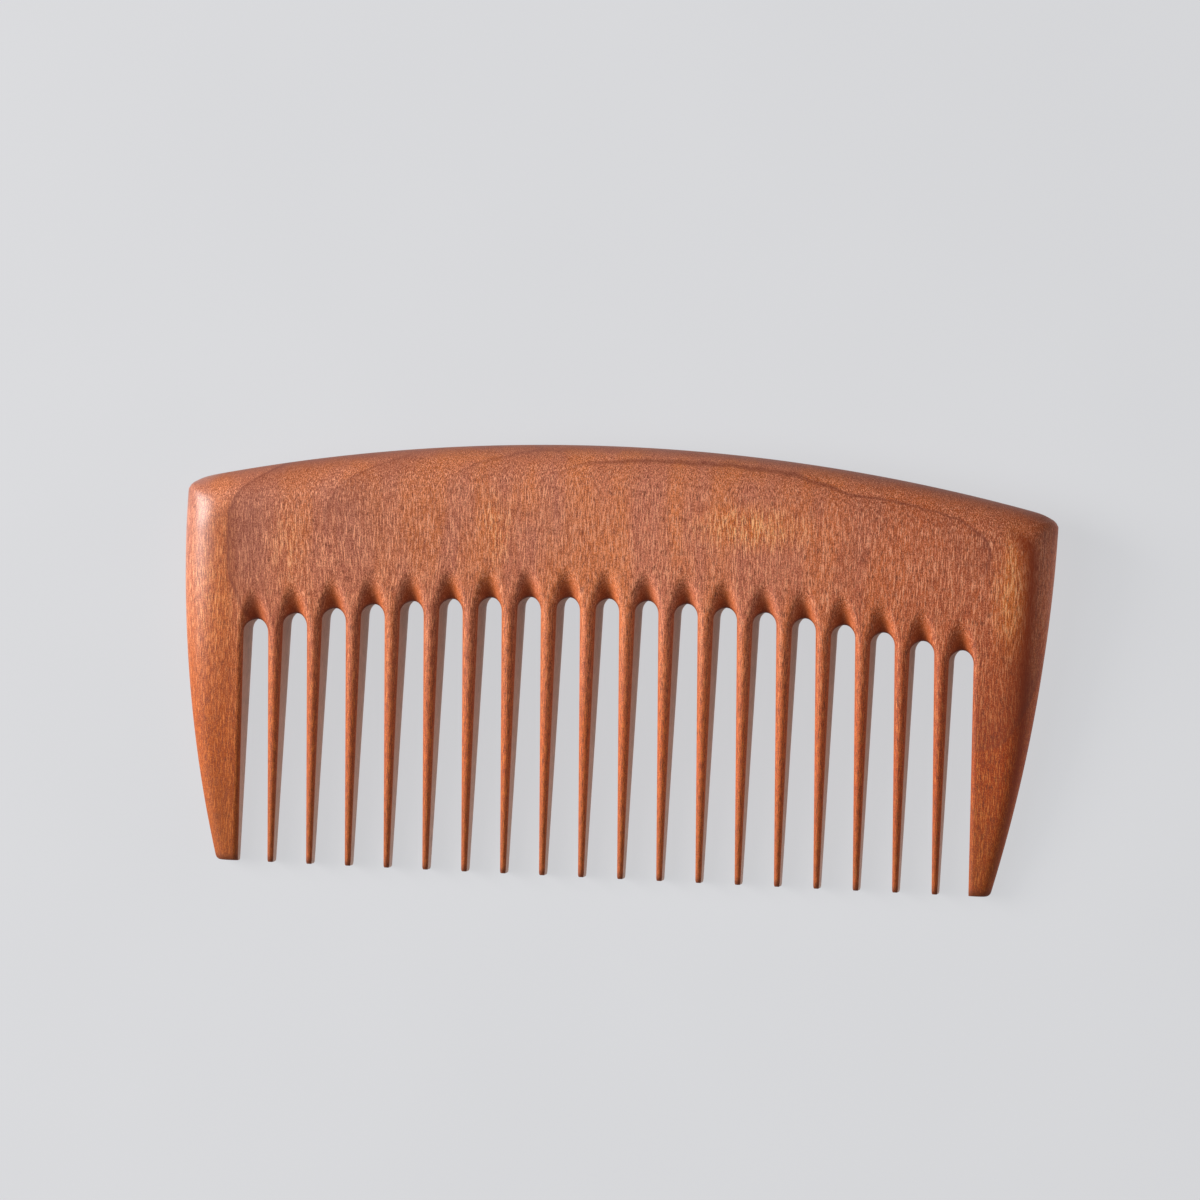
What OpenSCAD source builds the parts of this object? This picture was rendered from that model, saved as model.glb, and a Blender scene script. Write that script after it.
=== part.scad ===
// Wooden comb, cut from one board, lying on its rear face.
// It is worked out upright: X runs along the back, Y from the tips to the back, Z through the
// thickness with the front at +Z. The last module turns it so that the rear face is level.

/* [Blank] */
// Height of the back above the tips, at the crest of its arc
comb_h = 58.9; // [55:0.1:70]
// Radius of the arc along the back
back_r = 256; // [200:1:600]
// Reach of the left side from the middle gap, where it is widest
left_reach = 59.3; // [58:0.1:64]
// Reach of the right side from the middle gap, where it is widest
right_reach = 60.8; // [59.5:0.1:66]
// Radius of the arc of the left side
left_r = 177; // [150:1:400]
// Radius of the arc of the right side
right_r = 218; // [180:1:400]
// Height at which the left side is widest
left_widest_h = 44.6; // [35:0.1:50]
// Height at which the right side is widest
right_widest_h = 56.6; // [45:0.1:60]

/* [Thickness] */
// Thickness at the tips
tip_t = 2.8; // [1.8:0.1:3.8]
// Thickness at the back, where the rounding starts
back_t = 11.2; // [8:0.1:13]

/* [Teeth] */
// Number of teeth between the two end guards
teeth = 18; // [10:2:18]
// Distance between the middles of two teeth
pitch = 5.4; // [5.2:0.05:5.5]
// Width of a tooth at its tip
tooth_tip_w = 0.8; // [0.6:0.05:1.4]
// Width of a tooth at its root
tooth_root_w = 2.2; // [1.8:0.05:2.6]
// Height of the middle gap's round top above the tips
gap_h = 38.2; // [30:0.1:41]
// Radius of the arc that the tops of the gaps follow
gap_arc_r = 244; // [200:1:600]
// How far the gap beside a guard opens on the guard's side between its top and the tips
guard_slope = 0.2; // [0:0.05:0.6]

/* [Rounding] */
// Width of the rounded edge along the back, and along the sides down to the guards
edge_w = 6.5; // [4:0.1:6.5]
// Width of a guard's rounded edge at its tip
tip_edge_w = 1.8; // [1:0.1:2]
// How far the rounding of the two upper corners reaches along the back
corner_along = 3.2; // [2:0.1:5]
// How far it reaches down the sides
corner_down = 1.3; // [0.8:0.1:3]
// Rounding of a guard's inner edge
guard_edge = 0.7; // [0.5:0.1:1.2]
// Length of the hollow above each gap
hollow_l = 4.6; // [3:0.1:4.6]
// Depth of the hollow, measured over the middle of the gap's round top
hollow_d = 3.3; // [1.8:0.1:3.5]
// Height over which the tips are rounded
tip_round = 0.6; // [0.3:0.1:1]

/* [Hidden] */

wood = "#B5613C";
thickness_slope = (back_t - tip_t) / (comb_h - edge_w);
tooth_taper = (tooth_root_w - tooth_tip_w) / gap_h;
tilt = atan(thickness_slope / 2);

// The section of a tip is this share of the full one at the very end.
tip_share = 0.7;
// How full the rounded edge is: 2 makes it a quarter of an ellipse, and more makes it flatter.
edge_power = 2.3;
// How late a guard's rounded edge widens on its way up.
edge_growth = 2.5;
// Share of a guard's rounded edge that the rounding of its outer corner takes at the tip.
tip_corner_share = 0.3;
// The rounded edge of a guard takes at most this share of its face.
guard_round_share = 0.85;
// How quickly a gap's edge turns from the tooth's rounding into the hollow above the gap.
hollow_turn = 2;
// How softly a hollow runs out upwards, and how pointed its outline is.
hollow_fade = 1.6;
hollow_point = 0.42;

// Stations across a tooth, from flank to flank.
tooth_across = [-1, -0.7, 0, 0.7, 1];
// Stations across a gap, as angles from its middle, without the two flanks.
gap_angles = [-54, -18, 18, 54];
// Stations across a rounded edge, as angles from its rim.
rim_angles = [0, 30, 60, 90];
// Stations across a guard's inner edge, as shares of its rounding.
inner_shares = [0, 0.3, 1];
// Rows of the hollows, as shares of the height above the gaps.
hollow_rows = [0, 0.15, 0.35, 0.6, 1];
// Rows of a tooth and of a guard, as shares of its height.
tooth_rows = [0, tip_round / gap_h, 1];
guard_rows = [0, tip_round / gap_h, 0.12, 0.3, 0.5, 0.75, 1];

function mix(a, b, share) = a + (b - a) * share;
function clip(v) = max(0, min(1, v));
function arc_drop(r, across) = r - sqrt(r * r - across * across);
function flat(lists) = [for (list = lists) for (item = list) item];

// Outline in front view.
function back_y(x) = comb_h - arc_drop(back_r, x);
function side_x(side, y) = side > 0
    ? right_reach - arc_drop(right_r, y - right_widest_h)
    : -left_reach + arc_drop(left_r, y - left_widest_h);

// Gaps, counted from the left: middle, radius of the round top and height of its centre.
function gap_x(g) = (g - teeth / 2) * pitch;
function gap_top_y(x) = gap_h - arc_drop(gap_arc_r, x);
function tooth_w(y) = tooth_tip_w + tooth_taper * y;
function gap_r(g) = (pitch - tooth_w(gap_top_y(gap_x(g)))) / 2;
function gap_spring_y(g) = gap_top_y(gap_x(g)) - gap_r(g);

// Inner edge of a guard at height y: it leans out a little from the root to the tips.
function guard_gap(side) = side > 0 ? teeth : 0;
function guard_root_y(side) = gap_spring_y(guard_gap(side));
function guard_half_gap(side, y) =
    gap_r(guard_gap(side)) + guard_slope * (1 - min(y / guard_root_y(side), 1));
function guard_inner_x(side, y) = gap_x(guard_gap(side)) + side * guard_half_gap(side, y);

// Width of the rounded side at height y. Above the root of the guard it stays the same.
function guard_face_w(side, y) = side * (side_x(side, y) - guard_inner_x(side, y)) - guard_edge;
function side_edge_w(side, y) =
    let (root = guard_root_y(side), below = min(y, root))
    min(
        mix(tip_edge_w, edge_w, pow(below / root, edge_growth)),
        guard_round_share * guard_face_w(side, below)
    );

// Depth of the pointed hollow above a gap, at dx from its middle line and at a share of its height.
function hollow_depth(dx, up_share) =
    up_share >= 1 ? 0 :
    let (reach = pitch / 2 * pow(1 - up_share, hollow_point))
    hollow_d * pow(1 - up_share, hollow_fade) * pow(cos(90 * clip(dx / reach)), 2);

// Depth to which the edge of a gap is worked down at a place in front view. Beside a tooth it is
// the tooth's full rounding, and above the gap it grows into a hollow.
function worked_depth(x, y) =
    let (
        g = max(0, min(teeth, round(x / pitch + teeth / 2))),
        dx = abs(x - gap_x(g)),
        dy = max(0, y - gap_spring_y(g)),
        side = x < gap_x(0) ? -1 : x > gap_x(teeth) ? 1 : 0,
        below = min(y, gap_spring_y(g)),
        half_gap = side == 0 ? (pitch - tooth_w(below)) / 2 : guard_half_gap(side, below),
        from_edge = dy > 0 ? norm([dx, dy]) - gap_r(g) : dx - half_gap,
        rounding = side == 0 ? pitch / 2 - half_gap : guard_edge,
        left = 1 - clip(from_edge / rounding),
        rounded = rounding * (1 - sqrt(1 - left * left)),
        upward = dy > 0 ? pow(dy / norm([dx, dy]), hollow_turn) : 0
    )
    mix(rounded, hollow_depth(dx, dy / (gap_r(g) + hollow_l)), upward);

// Share of the thickness that is left at a distance from the side and from the back, both given
// as shares of the rounded edge.
function rim_share(from_side, from_back) =
    let (in = clip((min(from_side, from_back) + from_side * from_back) / 2))
    pow(1 - pow(1 - in, edge_power), 1 / edge_power);

function half_t(x, y, rim) =
    let (end = mix(tip_share, 1, clip(y / tip_round)))
    (tip_t + thickness_slope * y) / 2 * rim * end - worked_depth(x, y) * end;

// A point of the sheet: place in front view and half the thickness there.
function sheet_point(x, y, rim) = [x, y, rim > 0 ? half_t(x, y, rim) : 0];

// Rounds the corner where a side meets the back: distances from both, in millimetres.
function corner_shift(from_side, from_back) =
    let (
        a = clip(1 - from_side / corner_along),
        b = clip(1 - from_back / corner_down),
        pull = a > 0 && b > 0 ? max(a, b) / norm([a, b]) : 1
    )
    [
        a > 0 ? corner_along * (1 - a * pull) : from_side,
        b > 0 ? corner_down * (1 - b * pull) : from_back
    ];

// A point of the body, from its distances to the side and to the back.
function edge_point(side, from_side, from_back) =
    let (
        at = corner_shift(from_side * side_edge_w(side, comb_h), from_back * edge_w),
        x0 = side_x(side, comb_h - edge_w - at[1]) - side * at[0],
        y1 = back_y(x0) - at[1],
        x1 = side_x(side, y1) - side * at[0]
    )
    sheet_point(x1, back_y(x1) - at[1], rim_share(from_side, from_back));

// Rounding of a guard's outer corner at height y, as a share of its rounded edge.
function tip_corner(y) =
    let (left = 1 - clip(y / tip_round))
    tip_corner_share * (1 - sqrt(1 - left * left));

// A guard's point at height y: its inner edge, or its rounded side.
function guard_inner_point(side, share, y) =
    sheet_point(guard_inner_x(side, y) + side * share * guard_edge, y, 1);
function guard_outer_point(side, from_side, y) =
    let (inward = mix(from_side, 1, tip_corner(y)) * side_edge_w(side, y))
    sheet_point(side_x(side, y) - side * inward, y, rim_share(from_side, 1));

// Shares of the rounded edge at its stations, from the rim inwards.
rim_shares = [for (a = rim_angles) 1 - cos(a)];

// Root points of a tooth in front view: across runs from -1 to 1.
function tooth_x(k) = (k - (teeth - 1) / 2) * pitch;
function root_place(k, across) =
    let (share = (across + 1) / 2)
    [
        mix(gap_x(k) + gap_r(k), gap_x(k + 1) - gap_r(k + 1), share),
        mix(gap_spring_y(k), gap_spring_y(k + 1), share)
    ];
function tooth_point(k, across, height) =
    let (
        root = root_place(k, across),
        y = root[1] * height,
        end = mix(tip_share, 1, clip(y / tip_round)),
        x = mix(tooth_x(k) + across * tooth_tip_w / 2, root[0], height)
    )
    sheet_point(mix(tooth_x(k), x, end), y, 1);

// A column of the body over a place on its lower edge: the hollows, then the rounded back.
function column(place) =
    let (x = place[0], top = gap_top_y(x) + hollow_l)
    concat(
        [for (share = hollow_rows) let (y = mix(place[1], top, share)) sheet_point(x, y, 1)],
        [for (k = [len(rim_shares) - 1 : -1 : 0])
            sheet_point(x, back_y(x) - rim_shares[k] * edge_w, rim_share(1, rim_shares[k]))]
    );

// The body's columns over a guard.
function guard_hollow_y(side, share) =
    mix(guard_root_y(side), gap_top_y(gap_x(guard_gap(side))) + hollow_l, share);
function guard_inner_column(side, share) =
    column([guard_inner_x(side, guard_root_y(side)) + side * share * guard_edge, guard_root_y(side)]);
function guard_outer_column(side, from_side) =
    concat(
        [for (share = hollow_rows) guard_outer_point(side, from_side, guard_hollow_y(side, share))],
        [for (k = [len(rim_shares) - 1 : -1 : 0]) edge_point(side, from_side, rim_shares[k])]
    );
function guard_columns(side) =
    concat(
        [for (share = inner_shares) guard_inner_column(side, share)],
        [for (k = [len(rim_shares) - 1 : -1 : 0]) guard_outer_column(side, rim_shares[k])]
    );

function gap_columns(g) = [
    for (a = gap_angles)
        column([gap_x(g) + gap_r(g) * sin(a), gap_spring_y(g) + gap_r(g) * cos(a)])
];
function tooth_columns(k) = [for (across = tooth_across) column(root_place(k, across))];

function reversed(list) = [for (k = [len(list) - 1 : -1 : 0]) list[k]];

// Patches of the sheet, each a list of columns from left to right.
body_patch = concat(
    reversed(guard_columns(-1)),
    flat([for (g = [0 : teeth]) concat(gap_columns(g), g < teeth ? tooth_columns(g) : [])]),
    guard_columns(1)
);
function tooth_patch(k) =
    [for (across = tooth_across) [for (height = tooth_rows) tooth_point(k, across, height)]];
function guard_patch(side) =
    let (
        columns = concat(
            [for (share = inner_shares)
                [for (height = guard_rows) guard_inner_point(side, share, height * guard_root_y(side))]],
            [for (k = [len(rim_shares) - 1 : -1 : 0])
                [for (height = guard_rows)
                    guard_outer_point(side, rim_shares[k], height * guard_root_y(side))]]
        )
    )
    side > 0 ? columns : reversed(columns);
patches = concat(
    [body_patch, guard_patch(-1), guard_patch(1)],
    [for (k = [0 : teeth - 1]) tooth_patch(k)]
);

// Points of a patch: its front, then its rear.
function patch_points(patch) =
    concat(
        [for (p = flat(patch)) p],
        [for (p = flat(patch)) [p[0], p[1], 0 - p[2]]]
    );
function patch_size(patch) = 2 * len(patch) * len(patch[0]);
function first_point(n) = n == 0 ? 0 : first_point(n - 1) + patch_size(patches[n - 1]);

// Front and rear faces of a patch that starts at point number start. Each cell is split towards the
// nearer upper corner of the comb, so that no triangle has all its points on the rim.
function cell_faces(a, b, left) = left
    ? [[a, a + 1, b], [a + 1, b + 1, b]]
    : [[a, a + 1, b + 1], [a, b + 1, b]];
function patch_faces(patch, start) =
    let (rows = len(patch[0]), rear = len(patch) * rows)
    [for (i = [0 : len(patch) - 2]) for (j = [0 : rows - 2])
        let (a = start + i * rows + j, front = cell_faces(a, a + rows, patch[i][j][0] < 0))
        each concat(front, [for (f = front) [f[2] + rear, f[1] + rear, f[0] + rear]])];

// Wall between front and rear along an edge from point a to point b, with the wood on its left.
function wall(a, b, rear) = [[a, b, rear + b], [a, rear + b, rear + a]];

// Ends and flanks of a tooth or guard: its tip, its left flank and its right flank.
function tip_wall(patch, start) =
    let (rows = len(patch[0]), rear = len(patch) * rows)
    flat([for (i = [0 : len(patch) - 2]) wall(start + i * rows, start + (i + 1) * rows, rear)]);
function left_wall(patch, start) =
    let (rows = len(patch[0]), rear = len(patch) * rows)
    flat([for (j = [0 : rows - 2]) wall(start + j + 1, start + j, rear)]);
function right_wall(patch, start) =
    let (rows = len(patch[0]), rear = len(patch) * rows, last = start + (len(patch) - 1) * rows)
    flat([for (j = [0 : rows - 2]) wall(last + j, last + j + 1, rear)]);

// Round top of gap g, in the body patch.
function gap_wall(g) =
    let (
        rows = len(body_patch[0]),
        rear = len(body_patch) * rows,
        guard_stations = len(inner_shares) + len(rim_shares),
        first = guard_stations - 1 + g * (len(gap_angles) + len(tooth_across))
    )
    flat([for (i = [first : first + len(gap_angles)]) wall(i * rows, (i + 1) * rows, rear)]);

comb_points = flat([for (patch = patches) patch_points(patch)]);
all_faces = concat(
    flat([for (n = [0 : len(patches) - 1]) patch_faces(patches[n], first_point(n))]),
    flat([for (g = [0 : teeth]) gap_wall(g)]),
    right_wall(patches[1], first_point(1)),
    left_wall(patches[2], first_point(2)),
    flat([for (n = [1 : len(patches) - 1]) tip_wall(patches[n], first_point(n))]),
    flat([for (n = [3 : len(patches) - 1])
        concat(left_wall(patches[n], first_point(n)), right_wall(patches[n], first_point(n)))])
);

// Front and rear meet at the rim, so a wall's triangle that ends there has no area and is left out.
function apart(face, a, b) = comb_points[face[a]] != comb_points[face[b]];
comb_faces = [for (f = all_faces) if (apart(f, 0, 1) && apart(f, 1, 2) && apart(f, 2, 0)) f];

module upright_comb() {
    polyhedron(comb_points, comb_faces, convexity = 20);
}

module comb() {
    tip_z = tip_t / 2 * tip_share;
    middle_x = (side_x(1, back_y(right_reach) - corner_down) - left_reach) / 2;
    middle_y = (comb_h * cos(tilt) - tip_z * sin(tilt)) / 2;
    color(wood)
    translate([-middle_x, -middle_y, tip_t / 2 * cos(tilt)])
    rotate([tilt, 0, 0])
    upright_comb();
}

comb();
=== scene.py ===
# Wooden comb, oiled, lying on its rear face on a pale floor.
# The comb is worked out upright in millimetres: X runs along the back, Y from the tips to the back
# and Z through the thickness, with the front at +Z. One matrix then lays it down.
import math

import bmesh
import bpy
from mathutils import Matrix, Vector


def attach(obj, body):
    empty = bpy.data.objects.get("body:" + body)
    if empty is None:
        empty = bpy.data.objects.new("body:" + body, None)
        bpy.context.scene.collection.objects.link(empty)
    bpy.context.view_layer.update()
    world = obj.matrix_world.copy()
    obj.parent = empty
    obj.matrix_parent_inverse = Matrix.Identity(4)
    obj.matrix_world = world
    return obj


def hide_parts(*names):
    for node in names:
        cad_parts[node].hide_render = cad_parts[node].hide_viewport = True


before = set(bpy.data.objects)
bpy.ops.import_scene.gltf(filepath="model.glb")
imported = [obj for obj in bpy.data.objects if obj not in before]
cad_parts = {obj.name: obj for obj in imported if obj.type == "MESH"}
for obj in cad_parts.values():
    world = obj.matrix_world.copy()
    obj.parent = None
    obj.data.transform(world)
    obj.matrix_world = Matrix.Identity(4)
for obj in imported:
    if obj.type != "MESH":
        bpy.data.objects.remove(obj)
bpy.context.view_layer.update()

MM = 0.001

# Blank
COMB_H = 58.9
BACK_R = 256
SIDE_REACH = {-1: 59.3, 1: 60.8}
SIDE_R = {-1: 177, 1: 218}
SIDE_WIDEST_H = {-1: 44.6, 1: 56.6}

# Thickness
TIP_T = 2.8
BACK_T = 11.2

# Teeth
TEETH = 18
PITCH = 5.4
TOOTH_TIP_W = 0.8
TOOTH_ROOT_W = 2.2
GAP_H = 38.2
GAP_ARC_R = 244
GUARD_SLOPE = 0.2

# Rounding
EDGE_W = 6.5
TIP_EDGE_W = 1.8
EDGE_GROWTH = 2.5
EDGE_POWER = 2.3
CORNER_ALONG = 3.2
CORNER_DOWN = 1.3
CORNER_BLEND = 3
GUARD_EDGE = 0.7
HOLLOW_L = 4.6
HOLLOW_D = 3.3
HOLLOW_FADE = 1.6
HOLLOW_POINT = 0.42
HOLLOW_TURN = 2
GAP_EDGE_R = 0.3
TIP_ROUND = 0.6
TIP_SHARE = 0.7
TIP_CORNER_SHARE = 0.3

THICKNESS_SLOPE = (BACK_T - TIP_T) / (COMB_H - EDGE_W)
TOOTH_TAPER = (TOOTH_ROOT_W - TOOTH_TIP_W) / GAP_H
TILT = math.atan(THICKNESS_SLOPE / 2)


def mix(a, b, share):
    return a + (b - a) * share


def clip(value):
    return max(0.0, min(1.0, value))


def steps(count):
    """Shares from 0 to 1 in equal steps."""
    return [k / count for k in range(count + 1)]


def rounded_steps(count):
    """Shares from 0 to 1 that are close together near 0, as on a quarter of a circle."""
    return [1 - math.cos(share * math.pi / 2) for share in steps(count)]


def arc_drop(radius, across):
    return radius - math.sqrt(radius * radius - across * across)


# Outline in front view
def back_y(x):
    return COMB_H - arc_drop(BACK_R, x)


def side_x(side, y):
    return side * (SIDE_REACH[side] - arc_drop(SIDE_R[side], y - SIDE_WIDEST_H[side]))


# Gaps, counted from the left
def gap_x(gap):
    return (gap - TEETH / 2) * PITCH


def nearest_gap(x):
    return max(0, min(TEETH, math.floor(x / PITCH + TEETH / 2 + 0.5)))


def gap_top_y(x):
    return GAP_H - arc_drop(GAP_ARC_R, x)


def tooth_w(y):
    return TOOTH_TIP_W + TOOTH_TAPER * y


def gap_r(gap):
    return (PITCH - tooth_w(gap_top_y(gap_x(gap)))) / 2


def gap_spring_y(gap):
    return gap_top_y(gap_x(gap)) - gap_r(gap)


# Inner edges of the two end guards
def guard_gap(side):
    return TEETH if side > 0 else 0


def guard_root_y(side):
    return gap_spring_y(guard_gap(side))


def guard_half_gap(side, y):
    return gap_r(guard_gap(side)) + GUARD_SLOPE * (1 - min(y / guard_root_y(side), 1))


def guard_inner_x(side, y):
    return gap_x(guard_gap(side)) + side * guard_half_gap(side, y)


def side_edge_w(side, y):
    """Width of the rounded side at height y."""
    return mix(TIP_EDGE_W, EDGE_W, clip(y / guard_root_y(side)) ** EDGE_GROWTH)


def hollow_depth(dx, up_share):
    """Depth of the pointed hollow above a gap, at dx from its middle line."""
    if up_share >= 1:
        return 0
    reach = PITCH / 2 * (1 - up_share) ** HOLLOW_POINT
    return HOLLOW_D * (1 - up_share) ** HOLLOW_FADE * math.cos(math.pi / 2 * clip(dx / reach)) ** 2


def worked_depth(x, y):
    """Depth to which the edge of a gap is worked down: a tooth's rounding, or a hollow above a gap."""
    gap = nearest_gap(x)
    spring = gap_spring_y(gap)
    dx = abs(x - gap_x(gap))
    dy = max(0.0, y - spring)
    below = min(y, spring)
    side = -1 if x < gap_x(0) else 1 if x > gap_x(TEETH) else 0
    half_gap = guard_half_gap(side, below) if side else (PITCH - tooth_w(below)) / 2
    from_edge = math.hypot(dx, dy) - gap_r(gap) if dy > 0 else dx - half_gap
    rounding = GUARD_EDGE if side else PITCH / 2 - half_gap
    left = 1 - clip(from_edge / rounding)
    rounded = rounding * arc_drop(1, left)
    if dy <= 0:
        return rounded
    upward = (dy / math.hypot(dx, dy)) ** HOLLOW_TURN
    at_edge = 1 - clip(from_edge / GAP_EDGE_R)
    eased = GAP_EDGE_R * arc_drop(1, at_edge)
    return mix(rounded, hollow_depth(dx, dy / (gap_r(gap) + HOLLOW_L)) + eased, upward)


def gap_rim(x, y):
    """How near a place is to the round top of a gap: 1 at its edge, 0 from GAP_EDGE_R on."""
    gap = nearest_gap(x)
    dy = y - gap_spring_y(gap)
    if dy <= 0:
        return 0.0
    return (1 - clip((math.hypot(x - gap_x(gap), dy) - gap_r(gap)) / GAP_EDGE_R)) * clip(dy)


def rim_share(from_side, from_back):
    """Share of the thickness that is left, from the distances to side and back as shares of the edge."""
    if min(from_side, from_back) <= 0:
        return 0
    both = from_side * from_back
    nearer = both / (from_side ** CORNER_BLEND + from_back ** CORNER_BLEND) ** (1 / CORNER_BLEND)
    inward = clip((nearer + both) / 2)
    return (1 - (1 - inward) ** EDGE_POWER) ** (1 / EDGE_POWER)


def tip_end(y):
    """Share of the full section near the tips."""
    left = 1 - clip(y / TIP_ROUND)
    return mix(TIP_SHARE, 1, math.sqrt(1 - left * left))


def sheet_point(x, y, rim):
    """A point of the front, from its place in front view and the share of thickness at the rim."""
    if rim <= 0:
        return (x, y, 0.0)
    return (x, y, ((TIP_T + THICKNESS_SLOPE * y) / 2 * rim - worked_depth(x, y)) * tip_end(y))


def corner_shift(from_side, from_back):
    """Rounds the corner where a side meets the back, in millimetres from both."""
    a = clip(1 - from_side / CORNER_ALONG)
    b = clip(1 - from_back / CORNER_DOWN)
    pull = max(a, b) / math.hypot(a, b) if a > 0 and b > 0 else 1
    return (
        CORNER_ALONG * (1 - a * pull) if a > 0 else from_side,
        CORNER_DOWN * (1 - b * pull) if b > 0 else from_back,
    )


def edge_point(side, from_side, from_back):
    in_x, in_y = corner_shift(from_side * EDGE_W, from_back * EDGE_W)
    rough_x = side_x(side, COMB_H - EDGE_W - in_y) - side * in_x
    x = side_x(side, back_y(rough_x) - in_y) - side * in_x
    return sheet_point(x, back_y(x) - in_y, rim_share(from_side, from_back))


# Stations of the fine mesh: shares of each stretch, or numbers of rows
RIM_STEPS = rounded_steps(10)
GAP_ANGLES = [math.radians(-90 + 180 * share) for share in steps(14)][1:-1]
TOOTH_STEPS = [math.sin(math.radians(angle)) for angle in range(-90, 91, 18)]
INNER_STEPS = rounded_steps(6)
GUARD_FLAT_STEPS = steps(4)[1:-1]
HOLLOW_STEPS = [share ** 1.5 for share in steps(14)]
FACE_STEPS = steps(8)[1:-1]
TIP_STEPS = rounded_steps(5)
TOOTH_ROWS = 16
GUARD_ROWS = 24
WALL_STEPS = steps(4)

# Points of the mesh that are nearer than this, in millimetres, are one
MERGE_REACH = 0.0001


def face_rows(bottom, hollow_top, face_top):
    """Heights of the rows from the edge of a gap over its hollow and up the face."""
    rows = [mix(bottom, hollow_top, share) for share in HOLLOW_STEPS]
    return rows + [mix(hollow_top, face_top, share) for share in FACE_STEPS]


def column(place):
    """A column of the body over a place on its lower edge: hollow, face and rounded back."""
    x, bottom = place
    rows = face_rows(bottom, gap_top_y(x) + HOLLOW_L, back_y(x) - EDGE_W)
    points = [sheet_point(x, y, 1) for y in rows]
    for share in reversed(RIM_STEPS):
        points.append(sheet_point(x, back_y(x) - share * EDGE_W, rim_share(1, share)))
    return points


def tip_corner(y):
    """Rounding of a guard's outer corner at height y, as a share of its rounded edge."""
    left = 1 - clip(y / TIP_ROUND)
    return TIP_CORNER_SHARE * arc_drop(1, left)


def guard_outer_point(side, from_side, y):
    inward = mix(from_side, 1, tip_corner(y)) * side_edge_w(side, y)
    return sheet_point(side_x(side, y) - side * inward, y, rim_share(from_side, 1))


def guard_outer_column(side, from_side):
    """A column of the body over a guard's rounded side."""
    hollow_top = gap_top_y(gap_x(guard_gap(side))) + HOLLOW_L
    rows = face_rows(guard_root_y(side), hollow_top, edge_point(side, from_side, 1)[1])
    points = [guard_outer_point(side, from_side, y) for y in rows]
    return points + [edge_point(side, from_side, share) for share in reversed(RIM_STEPS)]


def guard_columns(side):
    """The body's columns over a guard, from its gap outwards."""
    root = guard_root_y(side)
    inner = guard_inner_x(side, root)
    edge = inner + side * GUARD_EDGE
    flat_end = guard_outer_point(side, 1, root)[0]
    places = [inner + side * share * GUARD_EDGE for share in INNER_STEPS]
    places += [mix(edge, flat_end, share) for share in GUARD_FLAT_STEPS]
    columns = [column((x, root)) for x in places]
    return columns + [guard_outer_column(side, share) for share in reversed(RIM_STEPS)]


def tooth_x(tooth):
    return (tooth - (TEETH - 1) / 2) * PITCH


def root_place(tooth, across):
    """A place on a tooth's root line, across it from -1 to 1."""
    share = (across + 1) / 2
    left = (gap_x(tooth) + gap_r(tooth), gap_spring_y(tooth))
    right = (gap_x(tooth + 1) - gap_r(tooth + 1), gap_spring_y(tooth + 1))
    return (mix(left[0], right[0], share), mix(left[1], right[1], share))


def gap_columns(gap):
    x, y, radius = gap_x(gap), gap_spring_y(gap), gap_r(gap)
    return [column((x + radius * math.sin(angle), y + radius * math.cos(angle))) for angle in GAP_ANGLES]


def body_patch():
    """The back and the upper parts of the guards, over the root line of the teeth."""
    columns = list(reversed(guard_columns(-1)))
    for gap in range(TEETH + 1):
        columns += gap_columns(gap)
        if gap < TEETH:
            columns += [column(root_place(gap, across)) for across in TOOTH_STEPS]
    return columns + guard_columns(1)


def length_shares(root_y, rows):
    """Rows from the tip, where they are close together, to the root, as shares of the height."""
    rounded = [share * TIP_ROUND / root_y for share in TIP_STEPS]
    return rounded + [mix(TIP_ROUND / root_y, 1, share) for share in steps(rows)[1:]]


def tooth_patch(tooth):
    shares = length_shares(gap_spring_y(tooth), TOOTH_ROWS)
    columns = []
    for across in TOOTH_STEPS:
        root_x, root_y = root_place(tooth, across)
        tip_x = tooth_x(tooth) + across * TOOTH_TIP_W / 2
        points = []
        for share in shares:
            y = root_y * share
            x = mix(tooth_x(tooth), mix(tip_x, root_x, share), tip_end(y))
            points.append(sheet_point(x, y, 1))
        columns.append(points)
    return columns


def guard_patch(side):
    """The free part of a guard, from its inner edge to its rounded side."""
    root_y = guard_root_y(side)
    rows = [share * root_y for share in length_shares(root_y, GUARD_ROWS)]
    columns = [
        [sheet_point(guard_inner_x(side, y) + side * share * GUARD_EDGE, y, 1) for y in rows]
        for share in INNER_STEPS
    ]
    for share in GUARD_FLAT_STEPS:
        points = []
        for y in rows:
            edge = guard_inner_x(side, y) + side * GUARD_EDGE
            points.append(sheet_point(mix(edge, guard_outer_point(side, 1, y)[0], share), y, 1))
        columns.append(points)
    for share in reversed(RIM_STEPS):
        columns.append([guard_outer_point(side, share, y) for y in rows])
    return columns if side > 0 else list(reversed(columns))


def rear(point):
    return (point[0], point[1], -point[2])


def add_grid(mesh, columns, sawn=0.0):
    """Adds a grid of points as triangles, split towards the nearer upper corner of the comb."""
    sawn_layer = mesh.faces.layers.float["sawn"]
    grid = [[mesh.verts.new(point) for point in points] for points in columns]
    for i in range(len(grid) - 1):
        for j in range(len(grid[0]) - 1):
            a, b = grid[i][j], grid[i + 1][j]
            c, d = grid[i + 1][j + 1], grid[i][j + 1]
            if a.co.x < 0:
                triangles = ((a, b, d), (b, c, d))
            else:
                triangles = ((a, b, c), (a, c, d))
            for triangle in triangles:
                mesh.faces.new(triangle)[sawn_layer] = sawn


def add_sheet(mesh, patch):
    add_grid(mesh, patch)
    add_grid(mesh, [[rear(point) for point in points] for points in reversed(patch)])


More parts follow.
